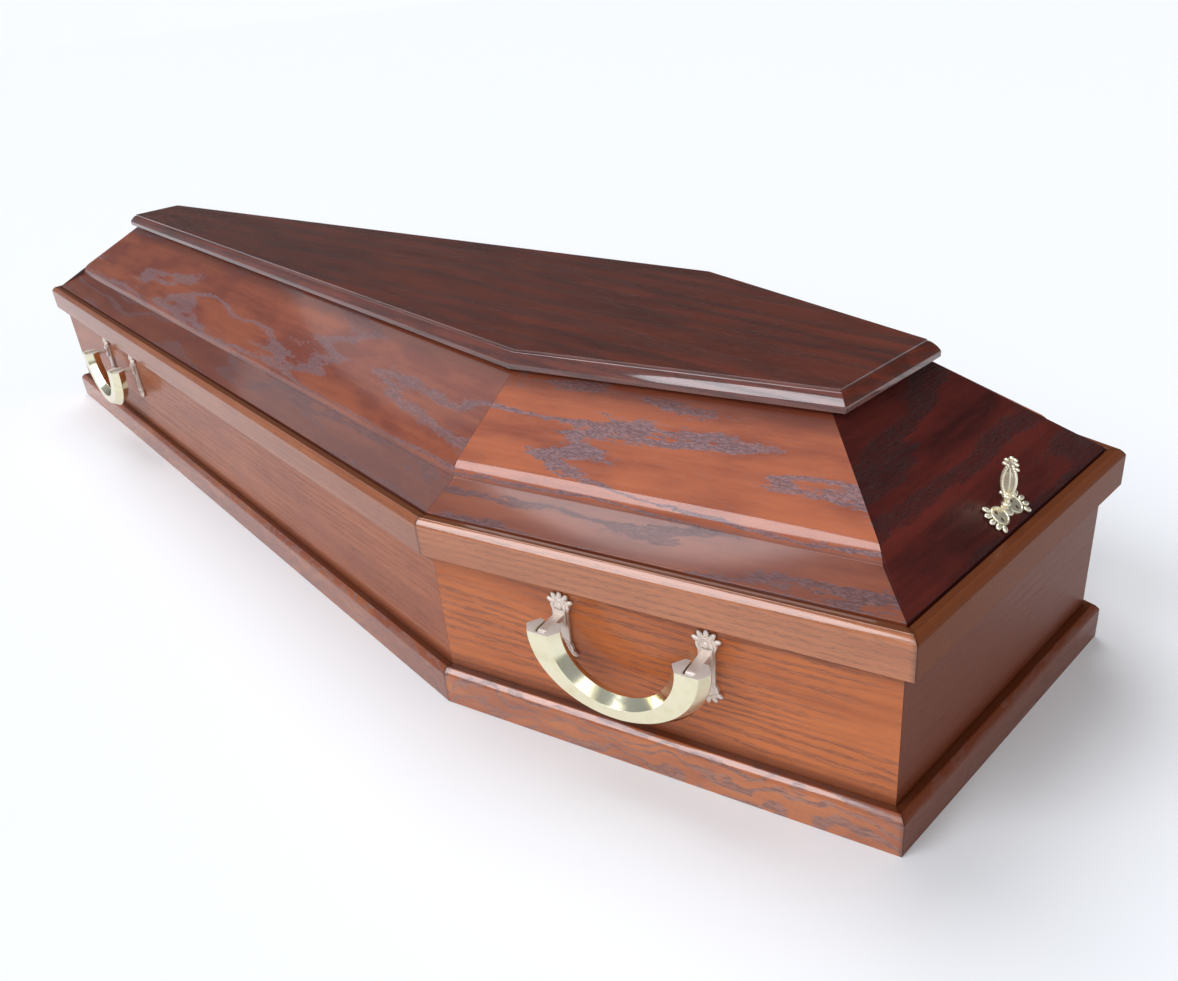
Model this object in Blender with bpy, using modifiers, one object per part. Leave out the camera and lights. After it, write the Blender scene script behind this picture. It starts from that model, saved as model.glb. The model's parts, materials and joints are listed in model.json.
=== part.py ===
"""Six-sided wooden coffin with a moulded lid, swinging bow handles and wing screws.

The head end is at +X and the coffin stands on z = 0, with x = 0 and y = 0 at the middle of its box.
Left is +Y and right is -Y, for someone who looks from the foot to the head.
"""

import math

import bmesh
import bpy
from mathutils import Matrix, Vector

GAP = 0.0003  # between pieces that touch

# Plan of the walls' outer faces
LENGTH = 1.970
HEAD_LENGTH = 0.492  # from the shoulders to the head end
FOOT_WIDTH = 0.375
SHOULDER_WIDTH = 0.655
HEAD_WIDTH = 0.406

# Walls and floor
WALL_HEIGHT = 0.237
WALL_THICKNESS = 0.020
FLOOR_THICKNESS = 0.018

# Skirting round the foot of the walls
SKIRTING_PROUD = 0.015
SKIRTING_HEIGHT = 0.045
SKIRTING_ROUND = 0.009

# Band round the rim, which stands a little above the walls and holds the lid in place
BAND_PROUD = 0.015
BAND_HEIGHT = 0.043
BAND_LIP = 0.004
BAND_ROUND = 0.008
BAND_QUIRK = 0.001

# Lid panels
LID_PLAY = 0.0024  # from the walls' outer face to the lid's edge
LID_EDGE = 0.005
LID_RISE = 0.1117
LID_RUN = 0.1535
LID_THICKNESS = 0.018
LOWER_RUN = 0.043
LOWER_RISE = 0.0226
NOSE_RADIUS = 0.0237
NOSE_START = 172  # degrees, where the nose rises from the lower slope
NOSE_SWEEP = 54

# Top board
TOP_THICKNESS = 0.0195
TOP_SIDE_OVERHANG = 0.0112
TOP_END_OVERHANG = 0.0202
TOP_EDGE = 0.007
OVOLO_RADIUS = 0.0105
TOP_QUIRK = 0.0022

# Handles: distances are from the hinge axis
HANDLE_FROM_SHOULDER = 0.245
HANDLE_FROM_FOOT = 0.350
BRACKET_SPACING = 0.162
STANDOFF = 0.035
BOW_DROP = 0.075
BOW_TOP = 0.010
BOW_END_WIDTH = 0.040
BOW_MIDDLE_WIDTH = 0.028
BOW_DEPTH = 0.024
BOW_FACET = 0.008
LUG_WIDTH = 0.010
LUG_RADIUS = 0.008
SLOT_PLAY = 0.001
PIN_RADIUS = 0.0025
PIN_REACH = 0.005
PIN_PLAY = 0.0004

# Cast backplates of the handles
PLATE_BELOW_BAND = 0.012
PLATE_THICKNESS = 0.005
PLATE_WAIST = 0.016
PLATE_DISC_RADIUS = 0.009
PLATE_TOP_DISC = 0.016  # disc centres above and below the axis
PLATE_LOW_DISC = 0.036
FAN_RADIUS = 0.0115
BEAD_RADIUS = 0.0034
BEAD_COUNT = 5
BEAD_STEP = math.radians(33)

# Wing screws, one at each end of the lid
SCREW_UP_SLOPE = 0.017
SCREW_PLATE_THICKNESS = 0.003
SCREW_DISC_RADIUS = 0.0105
SCREW_DISC_SPACING = 0.028
SCREW_FAN_RADIUS = 0.0150
SCREW_BEAD_RADIUS = 0.0036
SCREW_BEAD_STEP = math.radians(26)
SHANK_RADIUS = 0.003
SHANK_PLAY = 0.0005
SHANK_REACH = 0.022
NECK_HEIGHT = 0.017
NECK_RADIUS = 0.0045
WING_HEIGHT = 0.040
WING_HALF_WIDTH = 0.0085
WING_THICKNESS = 0.0036
WING_RIM = 0.0026

SIDES = ("right_foot", "right_head", "head_end", "left_head", "left_foot", "foot_end")
ENDS = ("head_end", "foot_end")
# A flat outline lies in XY and is extruded along Z; these turn it to stand across or along a board.
ACROSS = Matrix(((0, 0, 1, 0), (1, 0, 0, 0), (0, 1, 0, 0), (0, 0, 0, 1)))
FACING = Matrix.Rotation(math.pi / 2, 4, "X")


def clear_scene():
    for obj in list(bpy.data.objects):
        bpy.data.objects.remove(obj, do_unlink=True)


def new_collection(name):
    collection = bpy.data.collections.new(name)
    bpy.context.scene.collection.children.link(collection)
    return collection


def material(name, color, roughness, metallic=0.0):
    made = bpy.data.materials.new(name)
    made.use_nodes = True
    shader = made.node_tree.nodes["Principled BSDF"]
    shader.inputs["Base Color"].default_value = (*color, 1)
    shader.inputs["Roughness"].default_value = roughness
    shader.inputs["Metallic"].default_value = metallic
    return made


def arc(centre, radius, start, end, steps):
    """Points on an arc from one angle to another, in degrees from +X towards +Y."""
    angles = [math.radians(start + (end - start) * i / steps) for i in range(steps + 1)]
    return [(centre[0] + radius * math.cos(a), centre[1] + radius * math.sin(a)) for a in angles]


def baked(obj):
    """The object's evaluated mesh with its doubles merged; the object itself goes."""
    bpy.context.view_layer.update()
    graph = bpy.context.evaluated_depsgraph_get()
    mesh = bpy.data.meshes.new_from_object(obj.evaluated_get(graph))
    mesh.transform(obj.matrix_world)
    bpy.data.objects.remove(obj, do_unlink=True)
    bm = bmesh.new()
    bm.from_mesh(mesh)
    bmesh.ops.remove_doubles(bm, verts=bm.verts, dist=1e-6)
    bmesh.ops.recalc_face_normals(bm, faces=bm.faces)
    bm.to_mesh(mesh)
    bm.free()
    mesh.materials.clear()
    return mesh


def extruded(outline, depth, turn=None, holes=()):
    """A closed mesh: a flat outline with its holes, extruded to depth about its plane."""
    curve = bpy.data.curves.new("outline", "CURVE")
    curve.dimensions = "2D"
    curve.fill_mode = "BOTH"
    curve.extrude = depth / 2
    for points in (outline, *holes):
        spline = curve.splines.new("POLY")
        spline.points.add(len(points) - 1)
        for point, (x, y) in zip(spline.points, points):
            point.co = (x, y, 0, 1)
        spline.use_cyclic_u = True
    obj = bpy.data.objects.new("outline", curve)
    bpy.context.scene.collection.objects.link(obj)
    mesh = baked(obj)
    if turn:
        mesh.transform(turn)
    return mesh


def turned(profile, steps):
    """A closed solid of revolution about Z from (radius, z) points that run from top to bottom."""
    mesh = bpy.data.meshes.new("profile")
    points = [(radius, 0, z) for radius, z in profile]
    mesh.from_pydata(points, [(i, i + 1) for i in range(len(points) - 1)], [])
    obj = bpy.data.objects.new("profile", mesh)
    bpy.context.scene.collection.objects.link(obj)
    screw = obj.modifiers.new("turn", "SCREW")
    screw.steps = screw.render_steps = steps
    screw.use_merge_vertices = True
    screw.merge_threshold = 1e-6
    return baked(obj)


def cut_by_plane(mesh, point, normal):
    """Takes away what lies beyond a plane and closes the cut."""
    bm = bmesh.new()
    bm.from_mesh(mesh)
    geometry = bm.verts[:] + bm.edges[:] + bm.faces[:]
    bmesh.ops.bisect_plane(bm, geom=geometry, plane_co=point, plane_no=normal, clear_outer=True)
    bmesh.ops.holes_fill(bm, edges=[edge for edge in bm.edges if edge.is_boundary], sides=0)
    bmesh.ops.recalc_face_normals(bm, faces=bm.faces)
    bm.to_mesh(mesh)
    bm.free()


def helper(mesh, name, matrix=None):
    """An object in the cutters' collection, which is no part of the coffin."""
    obj = bpy.data.objects.new(name, mesh)
    obj.matrix_world = matrix or Matrix()
    obj.hide_render = True
    obj.display_type = "WIRE"
    CUTTERS.objects.link(obj)
    return obj


def combined(mesh, operation, others):
    """The mesh after one Boolean with each of the other meshes."""
    obj = bpy.data.objects.new("worked", mesh)
    bpy.context.scene.collection.objects.link(obj)
    tools = [helper(other, "tool") for other in others]
    for tool in tools:
        modifier = obj.modifiers.new(operation.lower(), "BOOLEAN")
        modifier.operation = operation
        modifier.object = tool
    result = baked(obj)
    for tool in tools:
        bpy.data.objects.remove(tool, do_unlink=True)
    return result


def moved(mesh, x=0.0, y=0.0, z=0.0):
    copy = mesh.copy()
    copy.transform(Matrix.Translation((x, y, z)))
    return copy


def place(name, mesh, look, parent=None, location=(0, 0, 0), turn=0.0):
    """A named piece of the coffin, placed in its parent's frame."""
    obj = bpy.data.objects.new(name, mesh)
    if not mesh.materials:
        mesh.materials.append(look)
    obj.location = location
    obj.rotation_euler = (0, 0, turn)
    obj.parent = parent
    COFFIN.objects.link(obj)
    return obj


def empty(name, location=(0, 0, 0), turn=0.0):
    obj = bpy.data.objects.new(name, None)
    obj.location = location
    obj.rotation_euler = (0, 0, turn)
    COFFIN.objects.link(obj)
    return obj


def plan(side_inset=0.0, end_inset=0.0):
    """The six corners of the walls' plan, anticlockwise from the right foot corner, moved inwards."""
    head, foot = LENGTH / 2, -LENGTH / 2
    shoulder = head - HEAD_LENGTH
    right = [(foot, -FOOT_WIDTH / 2), (shoulder, -SHOULDER_WIDTH / 2), (head, -HEAD_WIDTH / 2)]
    corners = [Vector(c) for c in right + [(x, -y) for x, y in reversed(right)]]
    lines = []
    for i, name in enumerate(SIDES):
        along = (corners[(i + 1) % 6] - corners[i]).normalized()
        inward = Vector((-along.y, along.x))
        inset = end_inset if name in ENDS else side_inset
        lines.append((inward, inward.dot(corners[i]) + inset))
    moved_corners = []
    for i in range(6):
        (n, d), (m, e) = lines[i - 1], lines[i]
        moved_corners.append(Matrix((n, m)).inverted() @ Vector((d, e)))
    return moved_corners


class Side:
    """One side of the plan: its middle, its direction and its mitre planes, in a frame of its own.

    The frame's x runs along the side, its y points into the coffin and its z is up.
    """

    def __init__(self, index, outer, inner):
        start, end = outer[index], outer[(index + 1) % 6]
        along = (end - start).normalized()
        self.name = SIDES[index]
        self.turn = math.atan2(along.y, along.x)
        self.middle = (start + end) / 2
        self.length = (end - start).length
        to_side = Matrix.Rotation(-self.turn, 2)
        mitre_start = to_side @ (inner[index] - start)
        mitre_end = to_side @ (inner[(index + 1) % 6] - end)
        self.planes = [
            (Vector((-self.length / 2 + GAP / 2, 0, 0)), mitre_start, -1),
            (Vector((self.length / 2 - GAP / 2, 0, 0)), mitre_end, 1),
        ]

    def board(self, section):
        """A board along this side, from its section in (inward, up), mitred at both ends."""
        mesh = extruded(section, self.length * 1.5, ACROSS)
        for point, mitre, end in self.planes:
            normal = Vector((mitre.y, -mitre.x, 0)).normalized() * end
            cut_by_plane(mesh, point, normal)
        return mesh


def sides(outer_side, outer_end, inner_side, inner_end):
    outer, inner = plan(outer_side, outer_end), plan(inner_side, inner_end)
    return [Side(i, outer, inner) for i in range(6)]


def rounded_section(low, high, proud, radius, quirk=0.0):
    """A band's section outside the wall: flat face, rounded top edge and flat top with a small quirk."""
    edge = arc((-proud + radius, high - quirk - radius), radius, 180, 90, 5)
    step = [(-proud + radius, high)] if quirk else []
    return [(-GAP, low), (-proud, low), *edge, *step, (-GAP, high)]


def moulded_profile():
    """The moulded panels' outer profile: lower slope, then a long round nose up to the upper slope."""
    start = math.radians(NOSE_START)
    centre = (LOWER_RUN - NOSE_RADIUS * math.cos(start), LOWER_RISE - NOSE_RADIUS * math.sin(start))
    return [(0.0, 0.0), *arc(centre, NOSE_RADIUS, NOSE_START, NOSE_START - NOSE_SWEEP, 8)]


def panel_section(profile):
    """A lid panel's section: the profile outside, a plain slope inside, flat top and bottom edges."""
    slope = math.atan2(LID_RISE, LID_RUN)
    inner_step = LID_THICKNESS / math.sin(slope)
    bottom_inner = inner_step - LID_EDGE / math.tan(slope)
    outside = [*profile, (LID_RUN, LID_RISE)]
    inside = [(LID_RUN + inner_step, LID_RISE), (bottom_inner, -LID_EDGE), (0.0, -LID_EDGE)]
    base = WALL_HEIGHT + GAP + LID_EDGE
    return [(inward, base + up) for inward, up in outside + inside]


def make_body(body):
    """Floor, six walls, six lengths of skirting and six lengths of rim band."""
    floor = plan(WALL_THICKNESS + GAP, WALL_THICKNESS + GAP)
    board = extruded([tuple(c) for c in floor], FLOOR_THICKNESS)
    place("floor_board", board, FLOOR_WOOD, body, (0, 0, FLOOR_THICKNESS / 2))
    band_top = WALL_HEIGHT + BAND_LIP
    wall = [(0, 0), (WALL_THICKNESS, 0), (WALL_THICKNESS, WALL_HEIGHT), (0, WALL_HEIGHT)]
    skirting = rounded_section(0, SKIRTING_HEIGHT, SKIRTING_PROUD, SKIRTING_ROUND)
    band = rounded_section(band_top - BAND_HEIGHT, band_top, BAND_PROUD, BAND_ROUND, BAND_QUIRK)
    for side in sides(0, 0, WALL_THICKNESS, WALL_THICKNESS):
        for name, section, look in (
            ("wall", wall, WALL_WOOD),
            ("skirting", skirting, TRIM_WOOD),
            ("rim_band", band, TRIM_WOOD),
        ):
            mesh = side.board(section)
            if name == "wall" and side.name in ENDS:
                mesh = combined(mesh, "DIFFERENCE", [bore_at(LID_PLAY)])
            place(f"{name}_{side.name}", mesh, look, body, (*side.middle, 0), side.turn)


def screw_place(edge_inset=0.0):
    """Where a wing screw's axis meets the end panel: its inset from a side, its height, the slope."""
    slope = math.atan2(LID_RISE, LID_RUN)
    height = WALL_HEIGHT + GAP + LID_EDGE + SCREW_UP_SLOPE * math.sin(slope)
    return edge_inset + SCREW_UP_SLOPE * math.cos(slope), height, slope


def bore_at(edge_inset):
    """A bore for the screw's shank, in the frame of a side that lies edge_inset outside the lid."""
    inset, height, _ = screw_place(edge_inset)
    depth = SHANK_REACH + SCREW_UP_SLOPE
    section = arc((0, inset), SHANK_RADIUS + SHANK_PLAY, 0, 360 - 30, 11)
    return moved(extruded(section, 2 * depth), z=height)


def make_lid(lid):
    """Four moulded side panels, two plain end panels and the top board."""
    moulded = panel_section(moulded_profile())
    plain = panel_section([(0.0, 0.0)])
    panels = sides(LID_PLAY, LID_PLAY, LID_PLAY + LID_RUN, LID_PLAY + LID_RUN)
    for i, side in enumerate(panels):
        if side.name in ENDS:
            mesh = side.board(plain)
            trims = [moulding_trim(panels[i - 1], side), moulding_trim(panels[(i + 1) % 6], side)]
            mesh = combined(mesh, "DIFFERENCE", [*trims, bore_at(0.0)])
            look = END_WOOD
        else:
            mesh = side.board(moulded)
            look = LID_WOOD
        place(f"lid_panel_{side.name}", mesh, look, lid, (*side.middle, 0), side.turn)
    make_top_board(lid)


def moulding_trim(neighbour, side):
    """What lies above the neighbour's moulding, run on past the mitre, in this side's frame."""
    base = WALL_HEIGHT + GAP + LID_EDGE
    profile = moulded_profile()
    lower = (-LOWER_RUN / 2, -LOWER_RISE / 2)
    above = LID_RISE
    outline = [lower, *profile[1:], (profile[-1][0], above), (lower[0], above)]
    mesh = extruded([(inward, base + up) for inward, up in outline], neighbour.length * 2, ACROSS)
    to_world = Matrix.Translation((*neighbour.middle, 0)) @ Matrix.Rotation(neighbour.turn, 4, "Z")
    to_side = Matrix.Rotation(-side.turn, 4, "Z") @ Matrix.Translation((-side.middle.x, -side.middle.y, 0))
    mesh.transform(to_side @ to_world)
    return mesh


def make_top_board(lid):
    """A slab whose upper edge steps in by a small quirk above a large ovolo, by repeated insets."""
    run = LID_PLAY + LID_RUN
    outline = plan(run - TOP_SIDE_OVERHANG, run - TOP_END_OVERHANG)
    mesh = extruded([tuple(c) for c in outline], TOP_EDGE)
    profile = arc((OVOLO_RADIUS, 0), OVOLO_RADIUS, 180, 90, 6)
    rest = TOP_THICKNESS - TOP_EDGE - OVOLO_RADIUS
    steps = [(b[0] - a[0], b[1] - a[1]) for a, b in zip(profile, profile[1:])]
    steps += [(TOP_QUIRK, 0.0), (0.0, rest)]
    bm = bmesh.new()
    bm.from_mesh(mesh)
    bmesh.ops.dissolve_limit(bm, angle_limit=0.01, verts=bm.verts, edges=bm.edges)
    top = [max(bm.faces, key=lambda face: face.calc_center_median().z)]
    for inward, up in steps:
        if inward > 0:
            bmesh.ops.inset_region(bm, faces=top, thickness=inward, depth=0, use_even_offset=True)
        else:
            extruded_top = bmesh.ops.extrude_face_region(bm, geom=top)
            bmesh.ops.delete(bm, geom=top, context="FACES_ONLY")
            top = [item for item in extruded_top["geom"] if isinstance(item, bmesh.types.BMFace)]
        bmesh.ops.translate(bm, vec=(0, 0, up), verts=list(top[0].verts))
    bmesh.ops.recalc_face_normals(bm, faces=bm.faces)
    bm.to_mesh(mesh)
    bm.free()
    underside = WALL_HEIGHT + GAP + LID_EDGE + LID_RISE + GAP
    place("lid_top_board", mesh, TOP_WOOD, lid, (0, 0, underside + TOP_EDGE / 2))


def bow_mesh():
    """The crescent bow about its hinge axis, with a slot and pin holes at each end."""
    half = BRACKET_SPACING / 2
    rings = []
    for radius, drop in (
        (half + BOW_END_WIDTH / 2, BOW_DROP + BOW_TOP),
        (half - BOW_END_WIDTH / 2, BOW_DROP + BOW_TOP - BOW_MIDDLE_WIDTH),
    ):
        circle = arc((0, 0), 1, -198, 18, 24)
        rings.append([(x * radius, y * drop + BOW_TOP) for x, y in circle])
    outline = rings[0] + rings[1][::-1]
    mesh = extruded(outline, 0.001, FACING)
    bm = bmesh.new()
    bm.from_mesh(mesh)
    bmesh.ops.dissolve_limit(bm, angle_limit=0.01, verts=bm.verts, edges=bm.edges)
    for way in (1, -1):
        face = max(bm.faces, key=lambda f: f.calc_area() if f.normal.y * way > 0.9 else 0)
        bmesh.ops.inset_region(bm, faces=[face], thickness=BOW_FACET, depth=0, use_even_offset=True)
        shift = way * (BOW_DEPTH - 0.001) / 2
        bmesh.ops.translate(bm, vec=(0, shift, 0), verts=list(face.verts))
    bmesh.ops.triangulate(bm, faces=bm.faces)
    bm.to_mesh(mesh)
    bm.free()
    cut_by_plane(mesh, (0, 0, BOW_TOP), (0, 0, 1))
    width, reach = LUG_WIDTH + 2 * SLOT_PLAY, LUG_RADIUS + SLOT_PLAY
    slot = [(-reach, -reach), (BOW_DEPTH, -reach), (BOW_DEPTH, 3 * BOW_TOP), (-reach, 3 * BOW_TOP)]
    pin = arc((0, 0), PIN_RADIUS + PIN_PLAY, 15, 345, 11)
    length = LUG_WIDTH + 2 * PIN_REACH + 2 * PIN_PLAY
    cutters = []
    for x in (-half, half):
        cutters.append(moved(extruded(slot, width, ACROSS), x=x))
        cutters.append(moved(extruded(pin, length, ACROSS), x=x))
    return combined(mesh, "DIFFERENCE", cutters)


def fan(centre, towards, radius, bead, step):
    """The scalloped edge of a fan of beads round a centre, anticlockwise, about one direction."""
    points = []
    for i in range(BEAD_COUNT):
        angle = towards + (i - (BEAD_COUNT - 1) / 2) * step
        middle = (centre[0] + radius * math.cos(angle), centre[1] + radius * math.sin(angle))
        turn = math.degrees(angle)
        points += arc(middle, bead, turn - 80, turn + 80, 4)
    return points


def bracket_mesh():
    """A cast backplate with a fan of beads above and below, and the lug that carries the bow."""
    upper = fan((0, PLATE_TOP_DISC), math.pi / 2, FAN_RADIUS, BEAD_RADIUS, BEAD_STEP)
    lower = fan((0, -PLATE_LOW_DISC), -math.pi / 2, FAN_RADIUS, BEAD_RADIUS, BEAD_STEP)
    waist = PLATE_WAIST / 2
    neck_up, neck_low = PLATE_TOP_DISC - PLATE_DISC_RADIUS, PLATE_DISC_RADIUS - PLATE_LOW_DISC
    outline = [(waist, neck_low), (waist, neck_up), *upper, (-waist, neck_up), (-waist, neck_low), *lower]
    back = STANDOFF - GAP
    plate = moved(extruded(outline, PLATE_THICKNESS, FACING), y=back - PLATE_THICKNESS / 2)
    root = back - PLATE_THICKNESS / 2
    arm = [(root, -LUG_RADIUS), (root, LUG_RADIUS), *arc((0, 0), LUG_RADIUS, 90, 270, 8)]
    lug = extruded(arm, LUG_WIDTH, ACROSS)
    pin = extruded(arc((0, 0), PIN_RADIUS, 15, 345, 11), LUG_WIDTH + 2 * PIN_REACH, ACROSS)
    return combined(plate, "UNION", [lug, pin])


def make_handles():
    """Two handles on each long side, each a bow between two brackets."""
    band_bottom = WALL_HEIGHT + BAND_LIP - BAND_HEIGHT
    above_axis = PLATE_TOP_DISC + FAN_RADIUS + BEAD_RADIUS
    height = band_bottom - PLATE_BELOW_BAND - above_axis
    bow, bracket = bow_mesh(), bracket_mesh()
    for side in sides(0, 0, WALL_THICKNESS, WALL_THICKNESS):
        if side.name in ENDS:
            continue
        from_start = HANDLE_FROM_SHOULDER if side.name.endswith("head") else HANDLE_FROM_FOOT
        along = from_start - side.length / 2
        if side.name.startswith("left"):
            along = -along
        turn = Matrix.Rotation(side.turn, 2)
        centre = side.middle + turn @ Vector((along, -STANDOFF))
        axis = empty(f"handle_axis_{side.name}", (*centre, height), side.turn)
        place(f"handle_bow_{side.name}", bow, HANDLE_METAL, axis)
        for end, x in (("foot", -1), ("head", 1)):
            if side.name.startswith("left"):
                x = -x
            name = f"handle_bracket_{side.name}_{end}ward"
            place(name, bracket, HANDLE_METAL, axis, (x * BRACKET_SPACING / 2, 0, 0))


def screw_plate_mesh():
    """Two discs side by side, each with a fan of beads on its outer side, and a bore in the middle."""
    half = SCREW_DISC_SPACING / 2
    outline = []
    for centre, towards in (((half, 0), 0.0), ((-half, 0), math.pi)):
        side = 1 if centre[0] > 0 else -1
        inner = arc(centre, SCREW_DISC_RADIUS, 180 * (side < 0) - 130, 180 * (side < 0) - 95, 2)
        outer = arc(centre, SCREW_DISC_RADIUS, 180 * (side < 0) + 95, 180 * (side < 0) + 130, 2)
        outline += [*inner, *fan(centre, towards, SCREW_FAN_RADIUS, SCREW_BEAD_RADIUS, SCREW_BEAD_STEP), *outer]
    _, _, slope = screw_place()
    plate = moved(extruded(outline, SCREW_PLATE_THICKNESS), z=GAP + SCREW_PLATE_THICKNESS / 2)
    bore = extruded(arc((0, 0), SHANK_RADIUS + SHANK_PLAY, 0, 330, 11), 8 * SCREW_PLATE_THICKNESS)
    bore.transform(Matrix.Rotation(-slope, 4, "X"))
    return combined(plate, "DIFFERENCE", [bore])


def wing_half_width(share):
    """Half the wing's width at a share of the leaf's height."""
    return WING_HALF_WIDTH * math.sin(math.pi * (0.12 + 0.80 * share)) ** 0.8


def wing_mesh():
    """The screw's vertical wing and shank: an openwork leaf with beads, on a turned neck."""
    low, top = NECK_HEIGHT, NECK_HEIGHT + WING_HEIGHT
    leaf_height = WING_HEIGHT - 4 * WING_RIM
    leaf = [(wing_half_width(i / 8), low + leaf_height * i / 8) for i in range(9)]
    shoulder = arc((leaf[-1][0] + WING_RIM * 0.2, leaf[-1][1] + WING_RIM), WING_RIM, -60, 60, 3)
    knob = arc((0, top - WING_RIM), WING_RIM * 1.2, 0, 180, 4)
    outline = leaf + shoulder + knob + [(-x, z) for x, z in reversed(leaf + shoulder)]
    rib = WING_RIM * 0.45
    slots = []
    for way in (1, -1):
        shares = [0.19 + 0.09 * i for i in range(7)]
        edge = [(wing_half_width(s) - WING_RIM * 1.1, low + leaf_height * s) for s in shares]
        ring = [(rib, edge[0][1] + WING_RIM), *edge, (rib, edge[-1][1] - WING_RIM)]
        slots.append([(way * x, z) for x, z in ring])
    wing = extruded(outline, WING_THICKNESS, FACING, slots)
    _, _, slope = screw_place()
    seat = SCREW_PLATE_THICKNESS / math.cos(slope) + 3 * GAP
    neck = turned(
        [
            (0, low + 0.002),
            (NECK_RADIUS * 0.7, low + 0.0015),
            (NECK_RADIUS, low - 0.002),
            (NECK_RADIUS * 0.75, low - 0.005),
            (NECK_RADIUS, seat + NECK_RADIUS * math.tan(slope)),
            (SHANK_RADIUS, seat + SHANK_RADIUS * math.tan(slope)),
            (SHANK_RADIUS, -SHANK_REACH),
            (0, -SHANK_REACH - SHANK_RADIUS),
        ],
        12,
    )
    return combined(neck, "UNION", [wing])


def make_screws(lid):
    """A wing screw with its base plate at the middle of each end panel."""
    plate, wing = screw_plate_mesh(), wing_mesh()
    for side in sides(LID_PLAY, LID_PLAY, LID_PLAY + LID_RUN, LID_PLAY + LID_RUN):
        if side.name not in ENDS:
            continue
        inset, height, slope = screw_place()
        inward = Matrix.Rotation(side.turn, 2) @ Vector((0, inset))
        base = empty(f"screw_place_{side.name}", (*(side.middle + inward), height), side.turn)
        place(f"screw_plate_{side.name}", plate, SCREW_METAL, base).rotation_euler = (slope, 0, 0)
        place(f"wing_screw_{side.name}", wing, SCREW_METAL, base, turn=math.pi / 2)


clear_scene()
COFFIN = new_collection("coffin")
CUTTERS = new_collection("cutters")
CUTTERS.hide_render = True
WALL_WOOD = material("wall_wood", (0.24, 0.075, 0.028), 0.38)
TRIM_WOOD = material("trim_wood", (0.20, 0.060, 0.026), 0.35)
LID_WOOD = material("lid_wood", (0.25, 0.070, 0.030), 0.33)
END_WOOD = material("end_panel_wood", (0.075, 0.018, 0.012), 0.30)
TOP_WOOD = material("top_board_wood", (0.060, 0.018, 0.012), 0.26)
FLOOR_WOOD = material("floor_wood", (0.42, 0.28, 0.16), 0.60)
HANDLE_METAL = material("pale_gold", (0.80, 0.74, 0.52), 0.15, 1.0)
SCREW_METAL = material("silver_gold", (0.84, 0.80, 0.66), 0.18, 1.0)
make_body(empty("coffin_body"))
coffin_lid = empty("coffin_lid")
make_lid(coffin_lid)
make_handles()
make_screws(coffin_lid)
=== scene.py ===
"""Finish of the six-sided wooden coffin: its boards, mouldings, handles and wing screws, and a plain studio.

Every board is modelled in a frame of its own, with x along the board, y into the coffin and z up, and is
then turned to its side of the plan. Sizes that the frame shows are read from it.
"""

import json
import math

import bpy
from mathutils import Matrix, Vector

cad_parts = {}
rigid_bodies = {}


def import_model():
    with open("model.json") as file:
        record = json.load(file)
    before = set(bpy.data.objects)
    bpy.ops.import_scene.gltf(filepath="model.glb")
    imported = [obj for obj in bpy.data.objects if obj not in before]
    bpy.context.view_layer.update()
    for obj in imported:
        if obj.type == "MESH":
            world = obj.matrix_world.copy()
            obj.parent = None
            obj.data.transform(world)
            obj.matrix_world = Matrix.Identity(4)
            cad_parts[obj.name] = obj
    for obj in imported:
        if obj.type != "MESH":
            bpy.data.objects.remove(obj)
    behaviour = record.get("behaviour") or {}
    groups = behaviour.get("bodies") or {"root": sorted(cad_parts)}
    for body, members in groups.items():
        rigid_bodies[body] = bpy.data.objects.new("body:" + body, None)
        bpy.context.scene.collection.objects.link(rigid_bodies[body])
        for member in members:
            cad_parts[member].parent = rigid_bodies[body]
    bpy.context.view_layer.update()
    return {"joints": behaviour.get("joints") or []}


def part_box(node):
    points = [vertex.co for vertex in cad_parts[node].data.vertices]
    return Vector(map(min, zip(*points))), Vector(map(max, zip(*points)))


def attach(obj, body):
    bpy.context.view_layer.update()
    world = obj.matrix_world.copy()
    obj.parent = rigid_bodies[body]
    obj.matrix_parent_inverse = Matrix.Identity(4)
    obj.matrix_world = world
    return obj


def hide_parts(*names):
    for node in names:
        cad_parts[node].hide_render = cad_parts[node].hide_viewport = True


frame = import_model()

GAP = 0.0003  # between boards that touch
SIDES = ("right_foot", "right_head", "head_end", "left_head", "left_foot", "foot_end")
ENDS = ("head_end", "foot_end")

# Rounds, from the lower edge up: each turn's radius and degrees
TRIM_TURNS = ((0.0030, 32), (0.0230, 20), (0.0030, 26))
NOSE_TURNS = ((0.0240, 22), (0.0360, 20))
OVOLO_TURNS = ((0.0030, 28), (0.0300, 24), (0.0030, 33))

# Section of the lid
LID_RUN = 0.1535
LID_THICKNESS = 0.018
LID_EDGE = 0.005
LOWER_RUN = 0.043
LOWER_RISE = 0.0226
NOSE_LEAN = 8  # degrees the nose leans back where it rises from the lower slope
TOP_EDGE = 0.0055
TOP_SIDE_OVERHANG = 0.0112
TOP_END_OVERHANG = 0.0202
TOP_QUIRK = 0.0016
ARRIS = 0.0006  # the small round on every sawn edge
SPARE = 1.5  # boards are pulled this much longer than their side, then cut

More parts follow.
